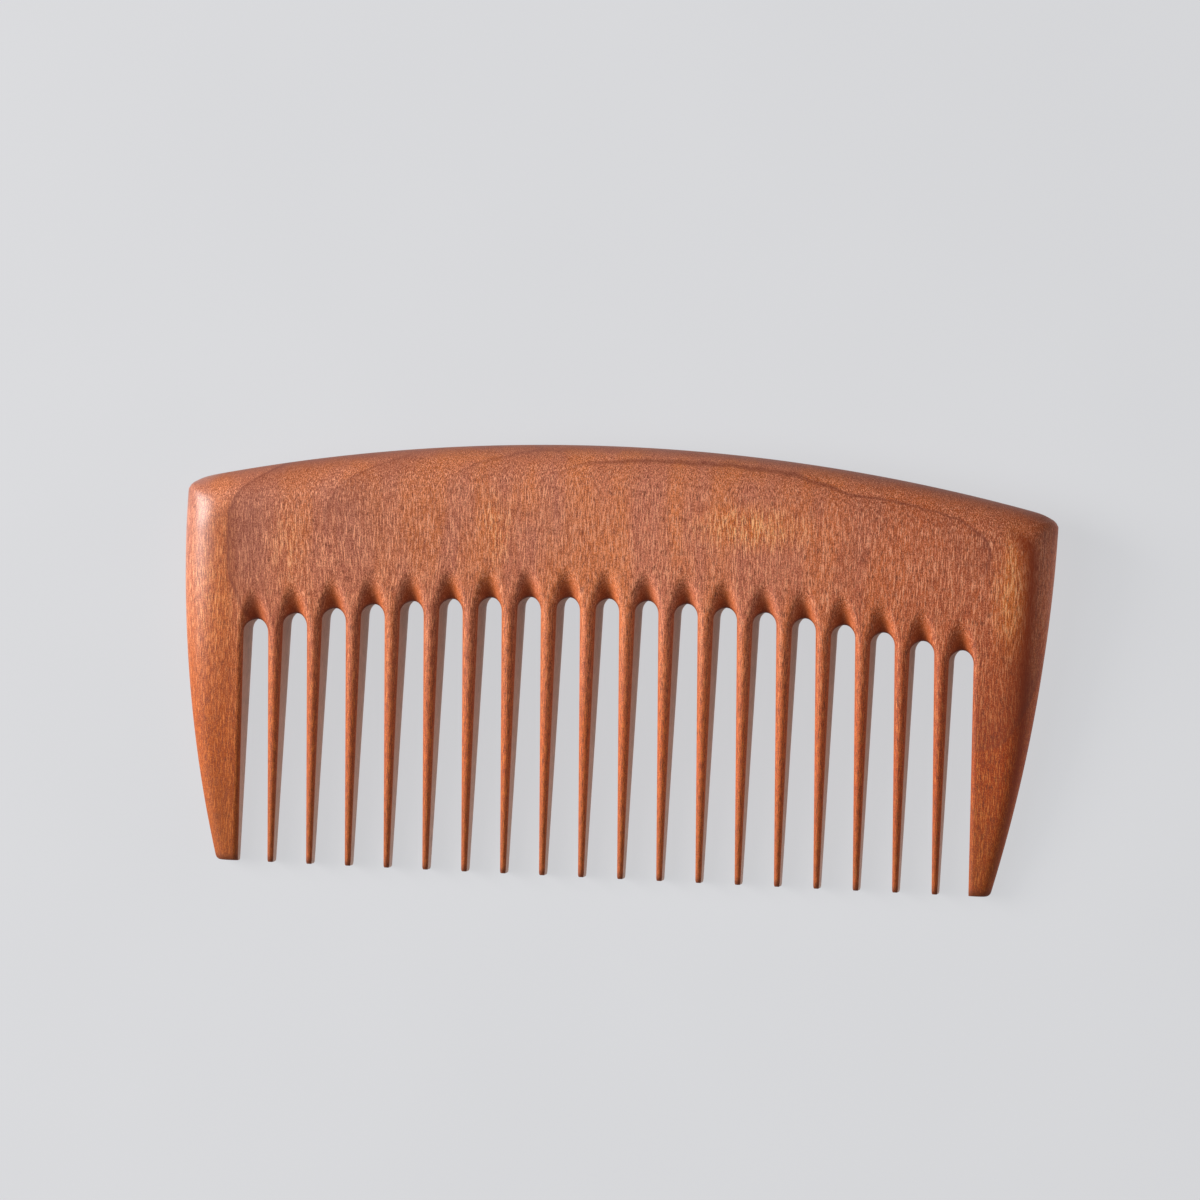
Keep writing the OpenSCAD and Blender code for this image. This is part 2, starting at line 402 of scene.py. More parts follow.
def add_wall(mesh, edge, sawn=1.0):
    """Joins front and rear along an edge of the sheet, with the wood on its left."""
    add_grid(mesh, [
        [tuple(mix(a, b, share) for a, b in zip(point, rear(point))) for share in reversed(WALL_STEPS)]
        for point in edge
    ], sawn)


def comb_mesh():
    """The comb as one closed mesh: body, teeth and guards, with the walls of the gaps and tips."""
    mesh = bmesh.new()
    mesh.faces.layers.float.new("sawn")
    body = body_patch()
    add_sheet(mesh, body)
    guard_stations = len(INNER_STEPS) + len(GUARD_FLAT_STEPS) + len(RIM_STEPS)
    for gap in range(TEETH + 1):
        first = guard_stations - 1 + gap * (len(GAP_ANGLES) + len(TOOTH_STEPS))
        add_wall(mesh, [points[0] for points in body[first : first + len(GAP_ANGLES) + 2]])
    guards = {side: guard_patch(side) for side in (-1, 1)}
    teeth = [tooth_patch(tooth) for tooth in range(TEETH)]
    for patch in [guards[-1], guards[1]] + teeth:
        add_sheet(mesh, patch)
        add_wall(mesh, [points[0] for points in patch], sawn=0.0)
    for patch in [guards[-1]] + teeth:
        add_wall(mesh, patch[-1])
    for patch in [guards[1]] + teeth:
        add_wall(mesh, list(reversed(patch[0])))
    bmesh.ops.remove_doubles(mesh, verts=mesh.verts, dist=MERGE_REACH)
    bmesh.ops.dissolve_degenerate(mesh, edges=mesh.edges, dist=MERGE_REACH)
    bmesh.ops.recalc_face_normals(mesh, faces=mesh.faces)
    # How near each point is to the round top of a gap, where painted shade lies along the edge
    rim_layer = mesh.verts.layers.float.new("gap_rim")
    for vert in mesh.verts:
        vert[rim_layer] = gap_rim(vert.co.x, vert.co.y)
    return mesh


# Lays the upright comb on its rear face, with the middle of its outline over the origin.
TIP_HALF_T = TIP_T / 2 * TIP_SHARE
MIDDLE_X = (side_x(1, back_y(SIDE_REACH[1]) - CORNER_DOWN) - SIDE_REACH[-1]) / 2
MIDDLE_Y = (COMB_H * math.cos(TILT) - TIP_HALF_T * math.sin(TILT)) / 2
LAID = Vector((-MIDDLE_X, -MIDDLE_Y, TIP_T / 2 * math.cos(TILT)))
LAY = Matrix.Scale(MM, 4) @ Matrix.Translation(LAID) @ Matrix.Rotation(TILT, 4, "X")


# Sockets of the two colours and of the result of a blend
BLEND_A = 6
BLEND_B = 7
BLEND_RESULT = 2


class Nodes:
    """Short names for the nodes of a material."""

    def __init__(self, name):
        self.material = bpy.data.materials.new(name)
        self.material.use_nodes = True
        self.tree = self.material.node_tree
        self.tree.nodes.clear()

    def new(self, kind):
        return self.tree.nodes.new("ShaderNode" + kind)

    def give(self, socket, value):
        """Links an input to another node's output, or sets it to a value."""
        if isinstance(value, bpy.types.NodeSocket):
            self.tree.links.new(value, socket)
        else:
            socket.default_value = value

    def give_named(self, node, inputs):
        for name, value in inputs.items():
            self.give(node.inputs[name], value)

    def add(self, kind, *values, out=0, **settings):
        """Adds a node, sets or links its inputs in order, and returns one of its outputs."""
        node = self.new(kind)
        for key, value in settings.items():
            setattr(node, key, value)
        for socket, value in zip(node.inputs, values):
            self.give(socket, value)
        return node.outputs[out]

    def math(self, operation, *values):
        return self.add("Math", *values, operation=operation)

    def product(self, value, *factors):
        """Multiplies a value by each factor in turn."""
        for factor in factors:
            value = self.math("MULTIPLY", value, factor)
        return value

    def vector(self, operation, *values):
        return self.add("VectorMath", *values, operation=operation)

    def length(self, vector):
        return self.add("VectorMath", vector, operation="LENGTH", out="Value")

    def spread(self, value, low, high, to_low=0.0, to_high=1.0):
        """Maps low to high smoothly onto two other values, and holds them outside."""
        return self.add("MapRange", value, low, high, to_low, to_high, interpolation_type="SMOOTHSTEP")

    def without(self, value, left=0.0):
        """Runs from 1 where a share is 0 down to what is left where the share is 1."""
        return self.spread(value, 0, 1, 1, left)

    def blend(self, share, a, b, kind="MIX"):
        node = self.new("Mix")
        node.data_type = "RGBA"
        node.blend_type = kind
        self.give(node.inputs["Factor"], share)
        self.give(node.inputs[BLEND_A], a)
        self.give(node.inputs[BLEND_B], b)
        return node.outputs[BLEND_RESULT]

    def grain(self, place, stretch, detail):
        """Noise whose cells have the size 1 / stretch."""
        node = self.new("TexNoise")
        stretched = self.vector("MULTIPLY", place, stretch)
        self.give_named(node, {"Vector": stretched, "Scale": 1.0, "Detail": detail})
        return node.outputs["Fac"]

    def relief(self, height, strength, distance):
        node = self.new("Bump")
        self.give_named(node, {"Strength": strength, "Distance": distance, "Height": height})
        return node.outputs[0]

    def surface(self, inputs):
        """Ends the material with a surface that has these inputs."""
        shader = self.new("BsdfPrincipled")
        self.give_named(shader, inputs)
        end = self.new("OutputMaterial")
        self.give(end.inputs["Surface"], shader.outputs[0])
        return self.material


# Ground colours of the wood in linear light, and tints that multiply them
TEETH_RED = (0.48, 0.095, 0.026, 1)
GUARD_RED = (0.37, 0.062, 0.001, 1)
CLOUD_ROSE = (0.42, 0.122, 0.07, 1)
CLOUD_ORANGE = (0.53, 0.14, 0.034, 1)
# Painted sheen that pales the middle of the face, and painted shade that darkens its right end, away from
# the light
MIDDLE_SHEEN_TINT = (1.38, 1.44, 1.44, 1)
RIGHT_SHADE_TINT = (0.72, 0.45, 0.22, 1)
LEFT_GUARD_TINT = (0.88, 0.78, 0.55, 1)

# Spans, by the noise of the clouds or in millimetres along the comb from its middle. Over the first
# two values of any span a share runs smoothly from 0 to 1, or else from its third value to its fourth.
CLOUD_RISE = (0.4, 0.6)
GUARD_RISE = (46, 53)
MIDDLE_RISE = (-32, 5)
RIGHT_RISE = (12, 48)

# Noise in the wood: its cells per millimetre across, up and through the wood, and how many levels
# of finer cells it has
SWAY_NOISE = ((0.07, 0.03, 0.07), 2)
CLOUD_NOISE = ((0.2, 0.035, 0.2), 2)
STREAK_NOISE = ((1.3, 0.08, 1.3), 3)
FLECK_NOISE = ((9.0, 0.6, 9.0), 1)
PORE_NOISE = ((10.0, 0.9, 10.0), 1)
SPECK_NOISE = ((9.0, 5.0, 9.0), 1)
RIPPLE_NOISE = ((0.5, 0.25, 0.5), 2)

# How far noise moves the wood's figure, in millimetres: the grain to a side, the start of the upper
# wood up and down, and the growth lines
GRAIN_SWAY = 3.0
UPPER_SWAY = 14.0
LINE_RIPPLE = 0.8

# Spans in millimetres: of the upper wood by its height, and of the grain's contrast along the comb
UPPER_RISE = (22, 54)
LEFT_CONTRAST = (-53, -46, 0.9, 1)
RIGHT_CONTRAST = (51, 57, 1, 0.75)


class Wood(Nodes):
    """The comb's wood: places on it in millimetres, noise along its grain, and its colour so far."""

    def __init__(self, name):
        super().__init__(name)
        self.find_place()
        self.find_grain()
        self.sawn = self.add("Attribute", attribute_name="sawn", out="Fac")
        self.colour = TEETH_RED

    def find_place(self):
        up = LAY.inverted()
        held = self.add("TexCoord", out="Object")
        turned_up = (up.translation, up.to_euler(), up.to_scale())
        self.place = self.add("Mapping", held, *turned_up, vector_type="POINT")
        self.across = self.add("SeparateXYZ", self.place, out="X")
        self.height = self.add("SeparateXYZ", self.place, out="Y")
        self.through = self.add("SeparateXYZ", self.place, out="Z")
        self.from_middle = self.math("ABSOLUTE", self.across)
        self.half_thickness = self.math("MULTIPLY_ADD", self.height, THICKNESS_SLOPE / 2, TIP_T / 2)
        self.depth = self.math("SUBTRACT", self.half_thickness, self.math("ABSOLUTE", self.through))

    def find_grain(self):
        """Noise that runs up the comb and keeps level with its wedge-shaped faces."""
        sway = self.grain(self.place, *SWAY_NOISE)
        swayed = self.math("MULTIPLY_ADD", sway, GRAIN_SWAY, self.across)
        level = self.product(self.math("DIVIDE", self.through, self.half_thickness), BACK_T / 2)
        along = self.add("CombineXYZ", swayed, self.height, level)
        self.clouds = self.grain(along, *CLOUD_NOISE)
        self.streaks = self.grain(along, *STREAK_NOISE)
        self.flecks = self.grain(along, *FLECK_NOISE)
        self.pores = self.grain(along, *PORE_NOISE)
        self.specks = self.grain(self.place, *SPECK_NOISE)
        swayed_height = self.math("MULTIPLY_ADD", self.streaks, UPPER_SWAY, self.height)
        self.upper = self.spread(swayed_height, *UPPER_RISE)
        left_contrast = self.spread(self.across, *LEFT_CONTRAST)
        self.contrast = self.product(left_contrast, self.spread(self.across, *RIGHT_CONTRAST))

    def layer(self, share, colour, kind="MIX"):
        """Lays a colour over the wood's colour so far."""
        self.colour = self.blend(share, self.colour, colour, kind)


def lay_ground_sheen_and_shade(wood):
    """Red teeth and guards below, and a rosier face, with painted sheen that makes it palest in the middle
    and painted shade that darkens its right end.
    """
    wood.layer(wood.spread(wood.from_middle, *GUARD_RISE), GUARD_RED)
    wood.layer(wood.upper, wood.blend(wood.spread(wood.clouds, *CLOUD_RISE), CLOUD_ROSE, CLOUD_ORANGE))
    # Painted sheen in the middle of the face
    wood.layer(wood.spread(wood.across, *MIDDLE_RISE), MIDDLE_SHEEN_TINT, kind="MULTIPLY")
    # Painted shade towards the right end, away from the light
    wood.layer(wood.spread(wood.across, *RIGHT_RISE), RIGHT_SHADE_TINT, kind="MULTIPLY")


# Soft oval patches, alike on front and rear: place, half width and half height in millimetres, and
# strength
# The golden patches are painted sheen: the shimmer of the grain, painted into the base colour
GOLDEN_SHEEN_PATCHES = [
    ((19.5, 48.8), (8.5, 3.4), 1.0),
    ((-15.3, 47.5), (2.5, 5.0), 0.7),
    ((55.0, 41.5), (2.4, 9.0), 1.0),
    ((-56.0, 36.0), (6.0, 9.0), 0.3),
    ((-44.5, 44.0), (2.5, 6.0), 0.5),
]
MAUVE_PATCHES = [
    ((-49.5, 45.0), (3.5, 8.0), 0.5),
    ((-33.5, 46.5), (4.5, 6.0), 0.35),
    ((-7.0, 48.0), (5.5, 6.0), 0.3),
]

# Where the patches fade, as shares of their half width and height, and their colours
PATCH_FADE = (0.2, 1.3)
# Colour of the painted golden sheen
GOLDEN_SHEEN = (0.7, 0.165, 0.018, 1)
MAUVE = (0.34, 0.12, 0.085, 1)

# Hue bands along the grain: their colours, and their spans by the noise of the streaks
BAND_ORANGE = (0.62, 0.17, 0.05, 1)
BAND_MAUVE = (0.38, 0.115, 0.075, 1)
ORANGE_BANDS = (0.3, 0.75, 0, 0.3)
MAUVE_BANDS = (0.5, 0.3, 0, 0.25)
# Where along the streaks the painted golden sheen shows
GOLDEN_SHEEN_BANDS = (0.25, 0.65, 0.45, 1)


def patch_share(wood, patches):
    """Strength of the patches at a place."""
    total = 0.0
    for (x, y), (half_width, half_height), strength in patches:
        offset = wood.vector("SUBTRACT", wood.place, (x, y, 0))
        scaled = wood.vector("MULTIPLY", offset, (1 / half_width, 1 / half_height, 0))
        total = wood.math("ADD", total, wood.spread(wood.length(scaled), *PATCH_FADE, strength, 0))
    return total


# Strength of the painted golden sheen, in patches and along the streaks
def golden_sheen_share(wood):
    return wood.product(patch_share(wood, GOLDEN_SHEEN_PATCHES), wood.spread(wood.streaks, *GOLDEN_SHEEN_BANDS))


def lay_bands(wood, golden_sheen):
    wood.layer(wood.product(wood.spread(wood.streaks, *ORANGE_BANDS), wood.upper), BAND_ORANGE)
    wood.layer(wood.product(wood.spread(wood.streaks, *MAUVE_BANDS), wood.upper), BAND_MAUVE)
    # Painted golden sheen
    wood.layer(golden_sheen, GOLDEN_SHEEN)
    wood.layer(patch_share(wood, MAUVE_PATCHES), MAUVE)


# Colours of threads, pores and specks; the pale ones are grain threads with the fibres' glint painted in,
# the gilt ones painted glints in the golden sheen
PALE_GLINT_BELOW = (0.7, 0.2, 0.045, 1)
PALE_GLINT_ABOVE = (0.86, 0.35, 0.19, 1)
GILT_GLINT = (1, 0.52, 0.22, 1)
THREAD_BROWN = (0.27, 0.058, 0.022, 1)
PORE_BROWN = (0.16, 0.032, 0.011, 1)
SPECK_BROWN = (0.17, 0.036, 0.012, 1)

# Their spans, by the noise that each follows
PALE_GLINT_THREADS = (0.5, 0.68)
GILT_GLINT_THREADS = (0.48, 0.66)
BROWN_THREADS = (0.5, 0.3, 0, 0.8)
OPEN_PORES = (0.49, 0.3, 0, 0.95)
PALE_GLINT_SPECKS = (0.5, 0.68, 0, 0.5)
BROWN_SPECKS = (0.5, 0.32, 0, 0.6)


def lay_threads(wood, golden_sheen):
    """Fine pale and brown threads along the grain, the pale ones with the fibres' glint painted in, painted
    gilt glints in the golden sheen, with pores and specks.
    """
    # Pale threads and specks carry a painted glint, paler on the upper wood
    pale_glint = wood.blend(wood.upper, PALE_GLINT_BELOW, PALE_GLINT_ABOVE)
    for noise, span, share, colour in (
        (wood.flecks, PALE_GLINT_THREADS, wood.contrast, pale_glint),
        (wood.flecks, GILT_GLINT_THREADS, golden_sheen, GILT_GLINT),
        (wood.flecks, BROWN_THREADS, wood.contrast, THREAD_BROWN),
        (wood.pores, OPEN_PORES, wood.contrast, PORE_BROWN),
        (wood.specks, PALE_GLINT_SPECKS, wood.contrast, pale_glint),
        (wood.specks, BROWN_SPECKS, wood.contrast, SPECK_BROWN),
    ):
        wood.layer(wood.product(wood.spread(noise, *span), share), colour)


# Colours of painted shade: on the rounded back and right side, which turn away from the light, and in the
# worked edges and hollows
BACK_SHADE = (0.22, 0.034, 0.004, 1)
SIDE_SHADE = (0.27, 0.03, 0.001, 1)
WORKED_SHADE_RED = (0.42, 0.085, 0.012, 1)
HOLLOW_SHADE = (0.2, 0.026, 0.001, 1)

# Their spans in millimetres: by the depth under the flat face, the place along the comb, the height,
# and the height above the gaps
LEFT_FACE_DEPTH = (0, 0.8, 1, 0)
LEFT_FACE_REACH = (-53, -50.5, 1, 0)
LEFT_FACE_RISE = (22, 32)
BACK_DEPTH = (1, 4.5, 0, 0.48)
BACK_RISE = (COMB_H - 5, COMB_H - 2)
RIGHT_SIDE_DEPTH = (0.15, 0.8, 0, 0.8)
RIGHT_SIDE_END = (0.7, 1.7, 1, 0)
RIGHT_SIDE_REACH = (52, 56)
WORKED_DEPTH = (0.05, 1, 0, 0.7)
HOLLOW_SHADE_DEPTH = (0.5, 2.6, 0, 0.92)
HOLLOW_RISE = (HOLLOW_L, HOLLOW_L + 1, 1, 0)
HOLLOW_REACH = (50.5, 52, 1, 0)

# How much of the back's painted shade stays over the golden sheen, and the span, by the threads' noise, of
# how much painted shade stays by a gap
BACK_SHADE_UNDER_SHEEN = 0.5
THREADS_LEAVE = (0.38, 0.64, 1, 0.7)


def lay_tint_and_shade(wood, golden_sheen):
    """A more saturated tone on the left guard's flat face, and painted shade on the rounded back and right
    side, which turn away from the light, and in the worked edges and hollows.
    """
    squared = wood.product(wood.across, wood.across)
    gap_tops = wood.math("MULTIPLY_ADD", squared, -0.5 / GAP_ARC_R, GAP_H)
    above_gaps = wood.math("SUBTRACT", wood.height, gap_tops)
    by_gaps = wood.spread(above_gaps, *HOLLOW_RISE)
    by_gaps = wood.product(by_gaps, wood.spread(wood.from_middle, *HOLLOW_REACH))
    below_back = wood.math("MULTIPLY_ADD", squared, 0.5 / BACK_R, wood.height)
    by_back = wood.spread(below_back, *BACK_RISE)

    left_face = wood.product(
        wood.spread(wood.depth, *LEFT_FACE_DEPTH),
        wood.spread(wood.across, *LEFT_FACE_REACH),
        wood.spread(wood.height, *LEFT_FACE_RISE),
    )
    wood.layer(left_face, LEFT_GUARD_TINT, kind="MULTIPLY")
    back_shade = wood.product(
        wood.spread(wood.depth, *BACK_DEPTH),
        by_back,
        wood.without(golden_sheen, BACK_SHADE_UNDER_SHEEN),
        wood.without(by_gaps),
    )
    # Painted shade on the rounded back, which turns away from the light
    wood.layer(back_shade, BACK_SHADE)
    right_side_shade = wood.product(
        wood.spread(wood.depth, *RIGHT_SIDE_DEPTH),
        wood.spread(wood.across, *RIGHT_SIDE_REACH),
        wood.without(by_back),
        wood.spread(wood.depth, *RIGHT_SIDE_END),
    )
    # Painted shade in a band along the rounded right side, which turns away from the light
    wood.layer(right_side_shade, SIDE_SHADE)
    # Painted shade in the worked edges and hollows above the gaps, darkest where they are worked deepest
    hollow_shading = wood.product(by_gaps, wood.spread(wood.flecks, *THREADS_LEAVE))
    wood.layer(wood.product(wood.spread(wood.depth, *WORKED_DEPTH), hollow_shading), WORKED_SHADE_RED)
    wood.layer(wood.product(wood.spread(wood.depth, *HOLLOW_SHADE_DEPTH), hollow_shading), HOLLOW_SHADE)


# Growth lines, which run through the wood and are alike on front and rear. Each has a middle, its
# radius in millimetres by the angle from straight up, clockwise in degrees on the front, how dark it
# is, how far the wood inside it is shaded, and the angles between which it fades in and out.
GROWTH_LINES = [
    {
        "middle": (15, 40), "darkness": 0.62, "shade": 0.32, "fades": (-101, -92, -76, -66),
        "radii": {
            -100: 62.4, -94: 66, -90: 67.3, -86: 67.7, -83: 67.8, -81.3: 67.3, -79.4: 65.8, -77.3: 63.4,
            -75: 60.7, -73: 57.7, -70: 51.9,
        },
    },
    {
        "middle": (15, 40), "darkness": 0.5, "shade": 0.25, "fades": (-87, -78, -71, -66),
        "radii": {
            -90: 54.5, -84: 54.5, -81: 54.7, -78: 53.9, -76: 52.9, -74: 51.2, -72: 49.2, -68: 45.6, -60: 40,
        },
    },
    {
        "middle": (15, 40), "darkness": 0.4, "shade": 0.15, "fades": (-72, -64, -52, -46),
        "radii": {-80: 40, -72: 39.8, -67: 38.2, -61: 34.7, -54: 30.7, -48: 27.9},
    },
    {
        "middle": (15, 40), "darkness": 0.6, "shade": 0.15, "fades": (-66, -38, 80, 88),
        "radii": {
            -100: 29, -73: 29.2, -67: 28.7, -60: 27.9, -52: 25.8, -46: 24, -40: 22.1, -28: 19.6, -14: 17.7,
            5: 17.1, 21: 17.8, 32: 19, 40: 20.1, 49: 21.7, 54: 23.2, 58: 25.5, 62: 27.9, 66: 30.5, 70: 33.6,
            73: 35.6, 76: 37.1, 79: 37.7, 82: 37.4, 84: 36.6, 86: 34.2, 89: 31, 95: 27,
        },
    },
    {
        "middle": (30, 45), "darkness": 0.45, "shade": 0.3, "fades": (108, 120, 137, 146),
        "radii": {
            100: 30, 112: 31.6, 120: 32.8, 126: 33.5, 131: 34.1, 134: 34.2, 138: 33.3, 142: 31.8, 155: 28,
        },
    },
]
FARTHEST_RADIUS = 80
GROWTH_BROWN = (0.18, 0.036, 0.018, 1)

# Half widths of a line where it is full and where it ends, and how far inside it the shade starts
# and ends, in millimetres
LINE_WIDTH = (0.06, 0.5)
SHADE_START = (-0.4, 0.2)
SHADE_REACH = 8


def turn_share(angle):
    """An angle in degrees from straight up, as a share of a full turn that starts straight down."""
    return 0.5 + angle / 360


def line_radius(wood, turn, radii):
    """Radius of a growth line, by the share of a turn."""
    curve = wood.new("FloatCurve")
    points = curve.mapping.curves[0].points
    known = [(turn_share(angle), radius) for angle, radius in radii.items()]
    stations = [(0, known[0][1])] + known + [(1, known[-1][1])]
    for _ in range(len(stations) - len(points)):
        points.new(0.5, 0.5)
    for point, (at, radius) in zip(points, stations):
        point.location = (at, radius / FARTHEST_RADIUS)
    curve.mapping.update()
    wood.give_named(curve, {"Factor": 1.0, "Value": turn})
    return wood.product(curve.outputs[0], FARTHEST_RADIUS)


def growth_line(wood, place, middle, radii, darkness, shade, fades):
    """Darkness of one growth line, and of the shaded wood inside it."""
    offset = wood.vector("SUBTRACT", place, (*middle, 0))
    across = wood.add("SeparateXYZ", offset, out="X")
    upward = wood.add("SeparateXYZ", offset, out="Y")
    turn = wood.math("MULTIPLY_ADD", wood.math("ARCTAN2", across, upward), 1 / (2 * math.pi), 0.5)
    distance = wood.length(wood.vector("MULTIPLY", offset, (1, 1, 0)))
    inside = wood.math("SUBTRACT", line_radius(wood, turn, radii), distance)
    start, full, waning, end = [turn_share(angle) for angle in fades]
    shown = wood.product(wood.spread(turn, start, full), wood.spread(turn, waning, end, 1, 0))
    line = wood.spread(wood.math("ABSOLUTE", inside), *LINE_WIDTH, darkness, 0)
    soft = wood.product(wood.spread(inside, 0, SHADE_REACH, shade, 0), wood.spread(inside, *SHADE_START))
    return wood.product(wood.math("MAXIMUM", line, soft), shown)


def lay_growth_lines(wood):
    ripple = wood.grain(wood.place, *RIPPLE_NOISE)
    rippled = wood.vector("ADD", wood.place, wood.vector("MULTIPLY", ripple, (LINE_RIPPLE, LINE_RIPPLE, 0)))
    rippled = wood.vector("SUBTRACT", rippled, (LINE_RIPPLE / 2, LINE_RIPPLE / 2, 0))
    dark = 0.0
    for line in GROWTH_LINES:
        dark = wood.math("MAXIMUM", dark, growth_line(wood, rippled, **line))
    wood.layer(dark, GROWTH_BROWN)


# Darkening towards the tips, the darker very ends of the tips, painted shade along the rims of the gaps,
# and sawn
# flanks: their colours, the first two spans by the height in millimetres, the strength of the rims' painted
# shade, and the span of the sawn wood by its pores
LOWER_BROWN = (0.22, 0.055, 0.004, 1)
TIP_END_BROWN = (0.1, 0.022, 0.008, 1)
RIM_SHADE = (0.06, 0.01, 0.006, 1)
SAWN_TAN = (0.45, 0.31, 0.25, 1)
SAWN_PALE = (0.68, 0.48, 0.4, 1)
LOWER_FADE = (2, 18, 0.35, 0)
TIP_END_FADE = (0.2, 1.4, 0.6, 0)
RIM_SHADE_SHARE = 0.7
SAWN_RISE = (0.35, 0.65)


def lay_ends(wood):
    wood.layer(wood.spread(wood.height, *LOWER_FADE), LOWER_BROWN)
    # Darker at the very ends of the tips
    wood.layer(wood.spread(wood.height, *TIP_END_FADE), TIP_END_BROWN)
    rim = wood.add("Attribute", attribute_name="gap_rim", out="Fac")
    # Painted shade along the round tops of the gaps, whose edges turn down away from the light
    wood.layer(wood.product(rim, RIM_SHADE_SHARE), RIM_SHADE)
    wood.layer(wood.sawn, wood.blend(wood.spread(wood.pores, *SAWN_RISE), SAWN_TAN, SAWN_PALE))


# Roughness of the lower, upper and sawn wood, and the span of what the threads add to it
LOWER_ROUGHNESS = 0.62
UPPER_ROUGHNESS = 0.54
SAWN_ROUGHNESS = 0.95
THREAD_ROUGHNESS = (0.3, 0.7, 0, 0.1)

# Relief of the grain: what threads and pores give to it, its strength, and its height in millimetres
THREAD_RELIEF = 0.6
PORE_RELIEF = 0.4
RELIEF_STRENGTH = 0.3
RELIEF_HEIGHT = 0.06

# Sheen, and a polish on the left guard, with its spans along the comb and by the height in millimetres
WOOD_IOR = 1.38
POLISH = 0.75
POLISH_ROUGHNESS = 0.33
POLISH_REACH = (-56.5, -54, 1, 0.1)
POLISH_RISE = (28, 42, 0.2, 1)


def wood_roughness(wood):
    planed = wood.spread(wood.upper, 0, 1, LOWER_ROUGHNESS, UPPER_ROUGHNESS)
    planed = wood.math("ADD", wood.spread(wood.flecks, *THREAD_ROUGHNESS), planed)
    return wood.math("MAXIMUM", planed, wood.product(wood.sawn, SAWN_ROUGHNESS))


def wood_relief(wood):
    threads = wood.product(wood.flecks, THREAD_RELIEF)
    relief = wood.math("ADD", threads, wood.product(wood.pores, PORE_RELIEF))
    return wood.relief(relief, RELIEF_STRENGTH, RELIEF_HEIGHT * MM)


def wood_polish(wood):
    along = wood.spread(wood.across, *POLISH_REACH)
    return wood.product(along, wood.upper, wood.spread(wood.height, *POLISH_RISE), POLISH)


def oiled_wood():
    wood = Wood("oiled_wood")
    golden_sheen = golden_sheen_share(wood)
    lay_ground_sheen_and_shade(wood)
    lay_bands(wood, golden_sheen)
    lay_threads(wood, golden_sheen)
    lay_tint_and_shade(wood, golden_sheen)
    lay_growth_lines(wood)
    lay_ends(wood)
    return wood.surface({
        "Base Color": wood.colour,
        "Roughness": wood_roughness(wood),
        "IOR": WOOD_IOR,
        "Coat Weight": wood_polish(wood),
        "Coat Roughness": POLISH_ROUGHNESS,
        "Normal": wood_relief(wood),
    })


# Angle in degrees above which an edge between two faces stays sharp
SHARP_ANGLE = 50


def make_comb():
    mesh = comb_mesh()
    data = bpy.data.meshes.new("comb_wood")
    mesh.to_mesh(data)
    mesh.free()
    data.transform(LAY)
    data.shade_smooth()
    data.set_sharp_from_angle(angle=math.radians(SHARP_ANGLE))
    data.materials.append(oiled_wood())
    comb = bpy.data.objects.new("comb_wood", data)
    bpy.context.scene.collection.objects.link(comb)
    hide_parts("comb")
    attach(comb, "root")


# Camera, set up before the upright comb in millimetres and degrees, and laid down with it
CAMERA_LENS = 270
CAMERA_SENSOR = 36
CAMERA_TURN = 9.2
CAMERA_DROP = -2.712
CAMERA_ROLL = 2.087
CAMERA_PLACE = (-1.594, 37.848, 1227.9)

# Nearest and farthest place that it sees, in metres
CAMERA_NEAR = 0.05
CAMERA_FAR = 10


def turned(degrees, axis):
    return Matrix.Rotation(math.radians(degrees), 4, axis)


def make_camera():
    data = bpy.data.cameras.new("camera")
    data.lens = CAMERA_LENS
    data.sensor_width = CAMERA_SENSOR
    data.clip_start = CAMERA_NEAR
    data.clip_end = CAMERA_FAR
    camera = bpy.data.objects.new("camera", data)
    bpy.context.scene.collection.objects.link(camera)
    aimed = turned(CAMERA_TURN, "Y") @ turned(CAMERA_DROP, "X")
    before = aimed @ Matrix.Translation(CAMERA_PLACE) @ turned(CAMERA_ROLL, "Z")
    laid = LAY @ before
    camera.matrix_world = Matrix.LocRotScale(laid.translation, laid.to_quaternion(), None)
    bpy.context.scene.camera = camera


# Floor: half its width and its height in metres, the noise of its tone by the millimetre, its two
# tones, and the faint light that it gives off
FLOOR_REACH = 3
FLOOR_Z = -0.00002
FLOOR_NOISE = ((0.02, 0.02, 0.02), 2)
FLOOR_DARK = (0.07, 0.07, 0.072, 1)
FLOOR_PALE = (0.1, 0.1, 0.102, 1)
FLOOR_ROUGHNESS = 0.9
FLOOR_LIGHT = (0.96, 0.97, 1.0, 1)
FLOOR_LIGHT_STRENGTH = 0.61


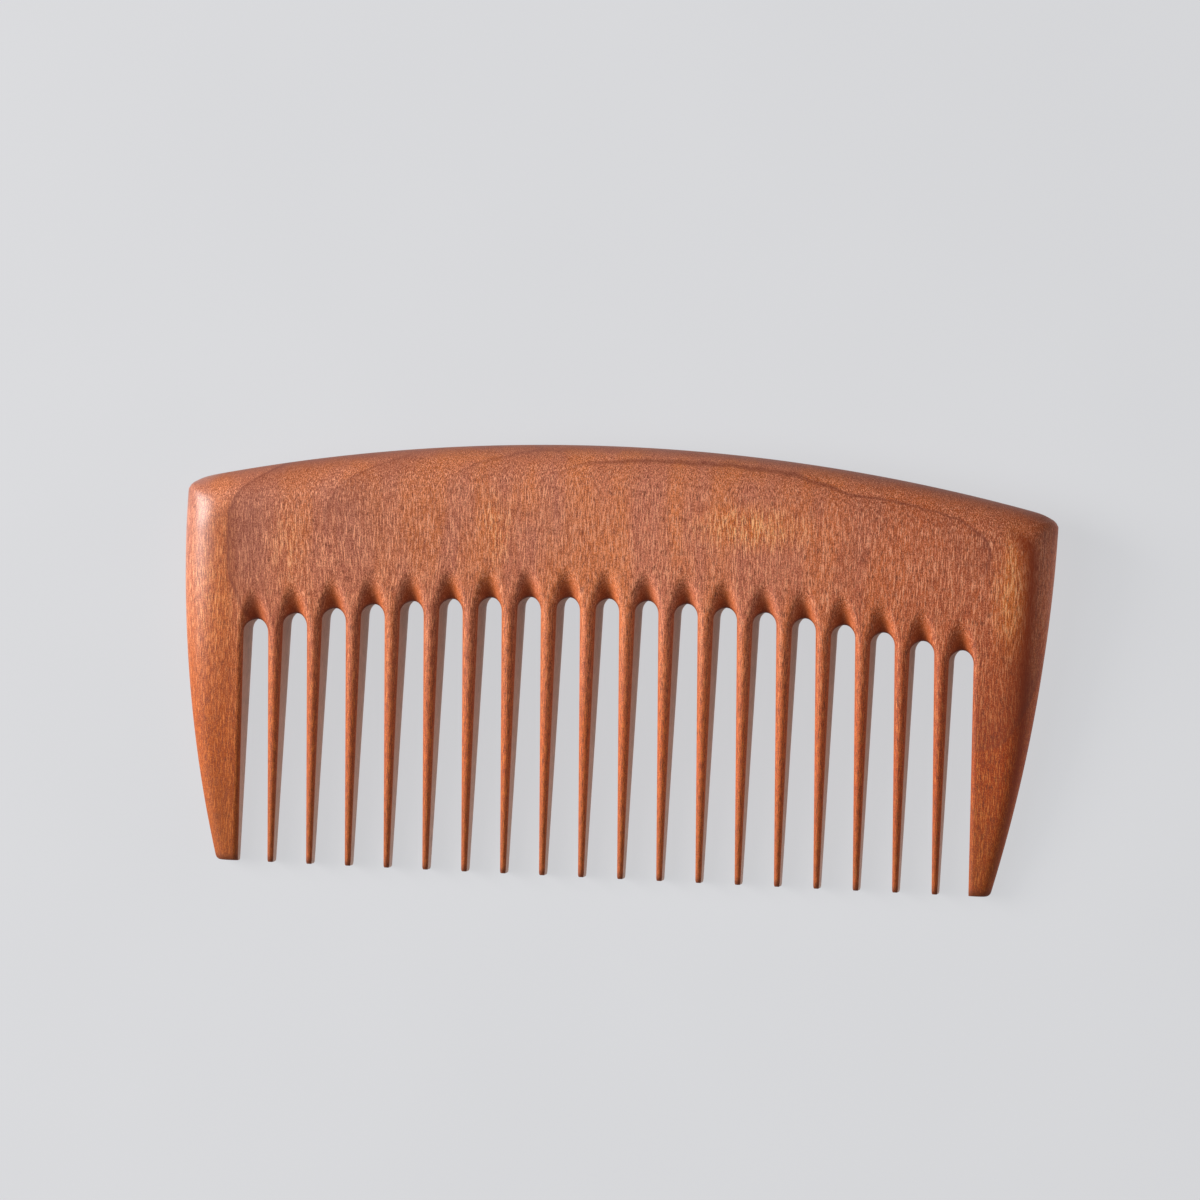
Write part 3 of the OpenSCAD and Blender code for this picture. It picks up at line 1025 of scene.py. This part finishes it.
def pale_floor():
    nodes = Nodes("pale_floor")
    held = nodes.add("TexCoord", out="Object")
    tone = nodes.grain(nodes.vector("MULTIPLY", held, (1 / MM,) * 3), *FLOOR_NOISE)
    return nodes.surface({
        "Base Color": nodes.blend(tone, FLOOR_DARK, FLOOR_PALE),
        "Roughness": FLOOR_ROUGHNESS,
        "Emission Color": FLOOR_LIGHT,
        "Emission Strength": FLOOR_LIGHT_STRENGTH,
    })


def make_floor():
    mesh = bmesh.new()
    bmesh.ops.create_grid(mesh, x_segments=1, y_segments=1, size=FLOOR_REACH)
    data = bpy.data.meshes.new("floor")
    mesh.to_mesh(data)
    mesh.free()
    data.transform(Matrix.Translation((0, 0, FLOOR_Z)))
    data.materials.append(pale_floor())
    floor = bpy.data.objects.new("floor", data)
    bpy.context.scene.collection.objects.link(floor)


# Soft lights: place and width in metres, power and colour. They all face the comb.
LIGHTS = {
    "window": ((-0.74, 0.12, 0.4), 0.5, 9.6, (1.0, 0.97, 0.94)),
    "sky": ((-0.8, -0.1, 1.0), 0.9, 6.8, (0.96, 0.97, 1.0)),
    "rim": ((0.85, 0.0, 0.2), 0.8, 2.0, (1.0, 0.95, 0.9)),
}

# Even light from all around
DAYLIGHT = (0.9, 0.94, 1.0, 1)
DAYLIGHT_STRENGTH = 0.04


def make_lights():
    for name, (place, width, power, colour) in LIGHTS.items():
        data = bpy.data.lights.new(name, "AREA")
        data.shape = "DISK"
        data.size = width
        data.energy = power
        data.color = colour
        light = bpy.data.objects.new(name, data)
        light.location = place
        light.rotation_euler = Vector(place).to_track_quat("Z", "Y").to_euler()
        bpy.context.scene.collection.objects.link(light)
    world = bpy.data.worlds.new("daylight")
    world.use_nodes = True
    background = world.node_tree.nodes["Background"]
    background.inputs["Color"].default_value = DAYLIGHT
    background.inputs["Strength"].default_value = DAYLIGHT_STRENGTH
    bpy.context.scene.world = world
    bpy.context.scene.view_settings.view_transform = "Standard"


make_camera()
make_comb()
make_floor()
make_lights()
